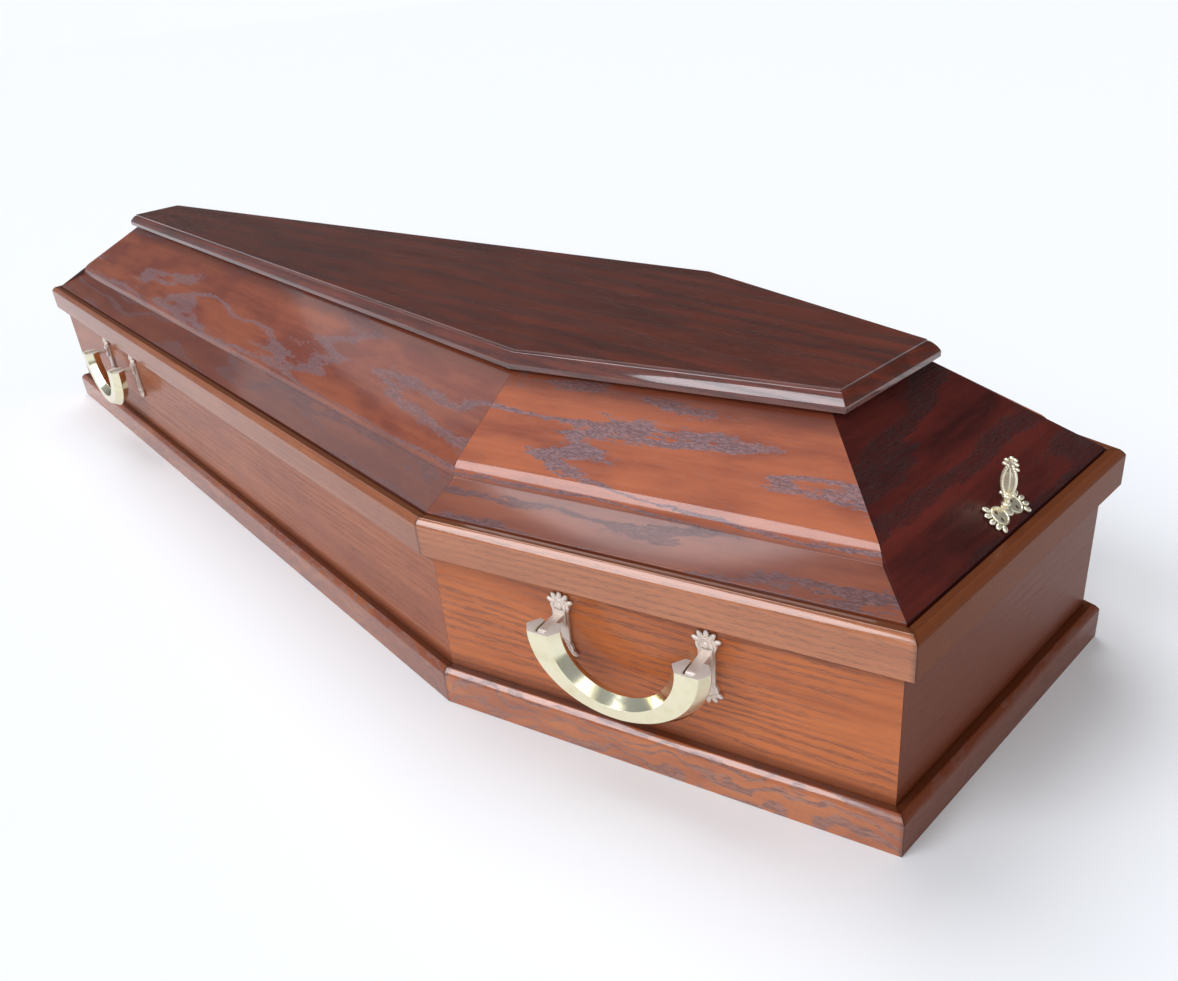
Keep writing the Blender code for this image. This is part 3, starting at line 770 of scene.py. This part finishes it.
def make_bow():
    """The crescent bow: a ring of two ellipses, faceted front and back, cut off level and slotted."""
    half = BRACKET_SPACING / 2
    deselect()
    bpy.ops.mesh.primitive_circle_add(vertices=144, radius=1)
    obj = bpy.context.object
    edit()
    outer = (half + BOW_END_WIDTH / 2, BOW_DROP + BOW_TOP, 1)
    inner = (half - BOW_END_WIDTH / 2, BOW_DROP + BOW_TOP - BOW_MIDDLE_WIDTH, 1)
    bpy.ops.transform.resize(value=outer)
    bpy.ops.mesh.primitive_circle_add(vertices=144, radius=1)
    bpy.ops.transform.resize(value=inner)
    bpy.ops.mesh.select_all(action="SELECT")
    bpy.ops.mesh.bridge_edge_loops()
    bpy.ops.mesh.select_all(action="SELECT")
    thin = 0.001
    bpy.ops.mesh.extrude_region_move(TRANSFORM_OT_translate={"value": (0, 0, thin)})
    bpy.ops.mesh.select_all(action="SELECT")
    bpy.ops.transform.translate(value=(0, 0, -thin / 2))
    bpy.ops.mesh.normals_make_consistent(inside=False)
    for way in (1, -1):
        select(lambda f, way=way: f.normal.z * way > 0.9, "FACE")
        bpy.ops.mesh.inset(thickness=BOW_FACET, depth=(BOW_DEPTH - thin) / 2, use_even_offset=True)
    bpy.ops.mesh.select_all(action="SELECT")
    bpy.ops.mesh.bisect(plane_co=(0, 0, 0), plane_no=(0, 1, 0), use_fill=True, clear_outer=True)
    deselect()
    place(obj, (0, 0, BOW_TOP), (math.pi / 2, 0, 0))
    width, reach = LUG_WIDTH + 2 * SLOT_PLAY, LUG_RADIUS + SLOT_PLAY
    tools = []
    for x in (-half, half):
        depth = BOW_DEPTH + reach
        tools.append(block((width, depth, depth), (x, depth / 2 - reach, depth / 2 - reach)))
    eased(cut(obj, tools), width=0.0009, angle=20, segments=3)
    bore = width + 2 * PIN_REACH
    cut(obj, [rod(PIN_RADIUS + PIN_PLAY, bore, (x, 0, 0), "X", 24) for x in (-half, half)])
    return smoothed(obj, angle=20)


def fan_beads(centre, towards, plane_y):
    """Finger-shaped beads round a centre in the XZ plane."""
    beads = []
    for i in range(BEAD_COUNT):
        angle = towards + (i - (BEAD_COUNT - 1) / 2) * BEAD_STEP
        one = bead((0, 0, 0), (BEAD_RADIUS * 1.5, 0.0026, BEAD_RADIUS * 0.85))
        place(one, (0, 0, 0), (0, -angle, 0))
        place(one, (centre[0] + FAN_RADIUS * math.cos(angle), plane_y, centre[1] + FAN_RADIUS * math.sin(angle)))
        beads.append(one)
    return beads


def make_bracket():
    """A cast backplate with a beaded fan above and below, and the flat arm that carries the bow."""
    back = STANDOFF - GAP
    front = back - PLATE_THICKNESS
    parts = [block((PLATE_WAIST, PLATE_THICKNESS * 0.7, PLATE_TOP_DISC + PLATE_LOW_DISC),
                   (0, back - PLATE_THICKNESS * 0.35, (PLATE_TOP_DISC - PLATE_LOW_DISC) / 2))]
    for z, towards in ((PLATE_TOP_DISC, math.pi / 2), (-PLATE_LOW_DISC, -math.pi / 2)):
        disc_at = (0, back - PLATE_THICKNESS * 0.4, z)
        parts.append(rod(PLATE_DISC_RADIUS + 0.002, PLATE_THICKNESS * 0.8, disc_at, "Y", 48))
        parts.append(ring(PLATE_DISC_RADIUS * 0.82, 0.0009, (0, front + 0.0012, z)))
        parts.append(bead((0, front + 0.001, z), (0.0036, 0.0018, 0.0036)))
        parts += fan_beads((0, z), towards, back - 0.0022)
    arm = front + PLATE_THICKNESS / 2
    parts.append(block((LUG_WIDTH * 1.1, arm, ARM_THICKNESS), (0, arm / 2, LUG_RADIUS - ARM_THICKNESS / 2)))
    parts.append(block((LUG_WIDTH * 1.5, 0.0022, LUG_RADIUS * 2.4), (0, front - 0.0006, LUG_RADIUS * 0.4)))
    parts.append(rod(LUG_RADIUS, LUG_WIDTH * 1.1, (0, 0, 0), "X", 40))
    parts.append(rod(PIN_RADIUS, LUG_WIDTH + 2 * PIN_REACH, (0, 0, 0), "X", 24))
    return smoothed(eased(joined(parts), width=0.0005, angle=40))


def make_handles():
    """Four bows on their hinges, each between two brackets."""
    bow, bracket = make_bow(), make_bracket()
    half = BRACKET_SPACING / 2
    for joint in frame["joints"]:
        side = joint["name"].replace("handle_swing_", "")
        along = -Vector(joint["axis"])
        turn = math.atan2(along.y, along.x)
        piece = place(copied(bow), joint["pos_m"], (0, 0, turn))
        top = joint["pos_m"][2] + BOW_TOP
        finish(piece, f"swing_bow_{side}", joint["child"], [f"handle_bow_{side}"], BOW_FINISH,
               BOW_END_FINISH, lambda f, top=top: f.center.z > top - 1e-4)
        for end in ("footward", "headward"):
            way = -1 if (end == "footward") == (along.x > 0) else 1
            piece = place(copied(bracket), Vector(joint["pos_m"]) + along * way * half, (0, 0, turn))
            finish(piece, f"bow_bracket_{side}_{end}", joint["parent"], [f"handle_bracket_{side}_{end}"],
                   BRACKET_FINISH)
    for master in (bow, bracket):
        bpy.data.objects.remove(master, do_unlink=True)


def make_screw_plate():
    """Two discs with raised rims, screw holes and beaded fans, flat in XY."""
    half = SCREW_DISC_SPACING / 2
    top = GAP + SCREW_PLATE_THICKNESS
    thick = SCREW_PLATE_THICKNESS * 0.8
    middle = GAP + thick / 2
    parts = [block((half * 0.9, SCREW_DISC_RADIUS, thick), (0, 0, middle))]
    parts.append(bead((0, 0, top - 0.0008), (0.0062, 0.0072, 0.0022)))
    for way in (1, -1):
        x = way * half
        disc = rod(SCREW_DISC_RADIUS, thick, (x, 0, middle), "Z", 48)
        holes = [rod(SCREW_HOLE_RADIUS, 0.01, (x + way * 0.001, y, top), "Z", 20)
                 for y in (-SCREW_HOLE_OFFSET, SCREW_HOLE_OFFSET)]
        parts.append(cut(disc, holes))
        parts.append(ring(SCREW_DISC_RADIUS * 0.88, 0.0011, (x, 0, top - 0.0008), "Z"))
        for i in range(BEAD_COUNT):
            angle = (0 if way > 0 else math.pi) + (i - (BEAD_COUNT - 1) / 2) * SCREW_BEAD_STEP
            one = bead((0, 0, 0), (SCREW_BEAD_RADIUS * 1.2, SCREW_BEAD_RADIUS * 0.8, 0.0022))
            place(one, (0, 0, 0), (0, 0, angle))
            across, along = SCREW_FAN_RADIUS * math.cos(angle), SCREW_FAN_RADIUS * math.sin(angle)
            parts.append(place(one, (x + across, along, GAP + 0.0021)))
    return smoothed(eased(joined(parts), width=0.0003, angle=40))


def make_wing():
    """The leaf-shaped wing on its neck: two curved ribs round a slim middle, with beads along the tip."""
    low, top = NECK_HEIGHT, NECK_HEIGHT + WING_HEIGHT
    leaf = WING_HEIGHT * 0.72
    parts = []
    for way in (1, -1):
        for i in range(RIB_BEADS):
            share = i / (RIB_BEADS - 1)
            x = way * (WING_HALF_WIDTH - 0.0022) * math.sin(math.pi * (0.12 + 0.80 * share)) ** 0.8
            parts.append(bead((x, 0, low + 0.001 + leaf * share), (0.0019, 0.0018, 0.0026)))
    parts.append(bead((0, 0, low + leaf * 0.5), (0.0022, 0.0013, leaf * 0.48)))
    parts.append(bead((0, 0, low + leaf * 0.42), (0.0062, 0.0008, leaf * 0.42)))
    for x, share in ((-0.0062, 0.70), (-0.0052, 0.82), (-0.0036, 0.92), (0.0058, 0.78), (0.0044, 0.88)):
        parts.append(bead((x, 0, low + WING_HEIGHT * share), (0.0026, 0.0017, 0.0018)))
    parts.append(bead((0, 0, top - 0.0022), (0.0026, 0.0020, 0.0022)))
    parts.append(bead((0, 0, low + WING_HEIGHT * 0.84), (0.0046, 0.0015, 0.0046)))
    for x in (-0.0058, 0.0058):
        parts.append(bead((x, 0, low + 0.0008), (0.0022, 0.0018, 0.0018)))
    parts.append(bead((0, 0, low - 0.001), (NECK_RADIUS * 1.05, NECK_RADIUS, 0.003)))
    parts.append(rod(NECK_RADIUS * 0.7, low, (0, 0, low / 2), "Z", 24))
    parts.append(bead((0, 0, low * 0.45), (NECK_RADIUS, NECK_RADIUS, 0.003)))
    return smoothed(joined(parts), angle=50)


def make_screws():
    """A wing screw and its plate in the middle of each end panel."""
    plate, wing = make_screw_plate(), make_wing()
    base, ridge, play = lid_levels()[1:]
    slope = math.atan2(ridge - base, LID_RUN)
    for side in sides(play, play):
        if side.name not in ENDS:
            continue
        inward = Matrix.Rotation(side.turn, 2) @ Vector((0, SCREW_UP_SLOPE * math.cos(slope)))
        at = (*(side.middle + inward), base + SCREW_UP_SLOPE * math.sin(slope))
        piece = place(copied(plate), (0, 0, 0), (slope, 0, 0))
        place(piece, at, (0, 0, side.turn))
        finish(piece, f"screw_rosette_{side.name}", "coffin", [f"screw_plate_{side.name}"],
               SCREW_FINISH)
        piece = place(copied(wing), at, (0, 0, side.turn + math.pi / 2))
        finish(piece, f"leaf_screw_{side.name}", "coffin", [f"wing_screw_{side.name}"], SCREW_FINISH)
    for master in (plate, wing):
        bpy.data.objects.remove(master, do_unlink=True)


def soft_light(name, azimuth, height, width, power, colour):
    """A distant round softbox; azimuth runs from +X towards +Y."""
    data = bpy.data.lights.new(name, "SUN")
    data.energy = power
    data.angle = math.radians(width)
    data.color = colour
    lamp = bpy.data.objects.new(name, data)
    lamp.rotation_euler = (0, math.radians(90 - height), math.radians(azimuth))
    bpy.context.scene.collection.objects.link(lamp)


def make_studio():
    """A pale floor, light from all round, soft lights and the camera."""
    deselect()
    bpy.ops.mesh.primitive_circle_add(vertices=96, radius=FLOOR_RADIUS, fill_type="NGON")
    floor = bpy.context.object
    edit("EDGE")
    bpy.ops.mesh.select_all(action="SELECT")
    bpy.ops.mesh.region_to_loop()
    bpy.ops.mesh.extrude_region_move()
    bpy.ops.transform.resize(value=(FLOOR_SPREAD, FLOOR_SPREAD, 1))
    bpy.ops.transform.translate(value=(0, 0, FLOOR_RISE))
    deselect()
    floor.name = "studio_floor"
    look = Finish("studio_floor_paint", base_color=(0.92, 0.92, 0.92, 1), roughness=0.9, specular_ior_level=0.1)
    floor.data.materials.append(look.material)
    world = bpy.data.worlds.new("studio")
    world.use_nodes = True
    room = Studio(world.node_tree)
    behind = room.facing(115, 10).rise(0.0, 0.65)
    room.light(room.mix(behind, (0.36, 0.38, 0.42), (0.045, 0.045, 0.045)))
    bpy.context.scene.world = world
    for light in SOFT_LIGHTS:
        soft_light(*light)
    scene = bpy.context.scene
    scene.view_settings.view_transform = "Standard"
    scene.view_settings.look = "None"
    camera = bpy.data.objects.new("camera", bpy.data.cameras.new("camera"))
    scene.collection.objects.link(camera)
    camera.data.lens = CAMERA_LENS
    camera.data.sensor_width = FILM_WIDTH
    camera.data.clip_start = 0.05
    camera.location = CAMERA_AT
    yaw, pitch, roll = (math.radians(angle) for angle in (CAMERA_YAW, 90 + CAMERA_PITCH, CAMERA_ROLL))
    turn = Matrix.Rotation(yaw, 4, "Z") @ Matrix.Rotation(pitch, 4, "X") @ Matrix.Rotation(roll, 4, "Z")
    camera.rotation_euler = turn.to_euler()
    scene.camera = camera


make_case()
make_lid()
make_handles()
make_screws()
make_studio()
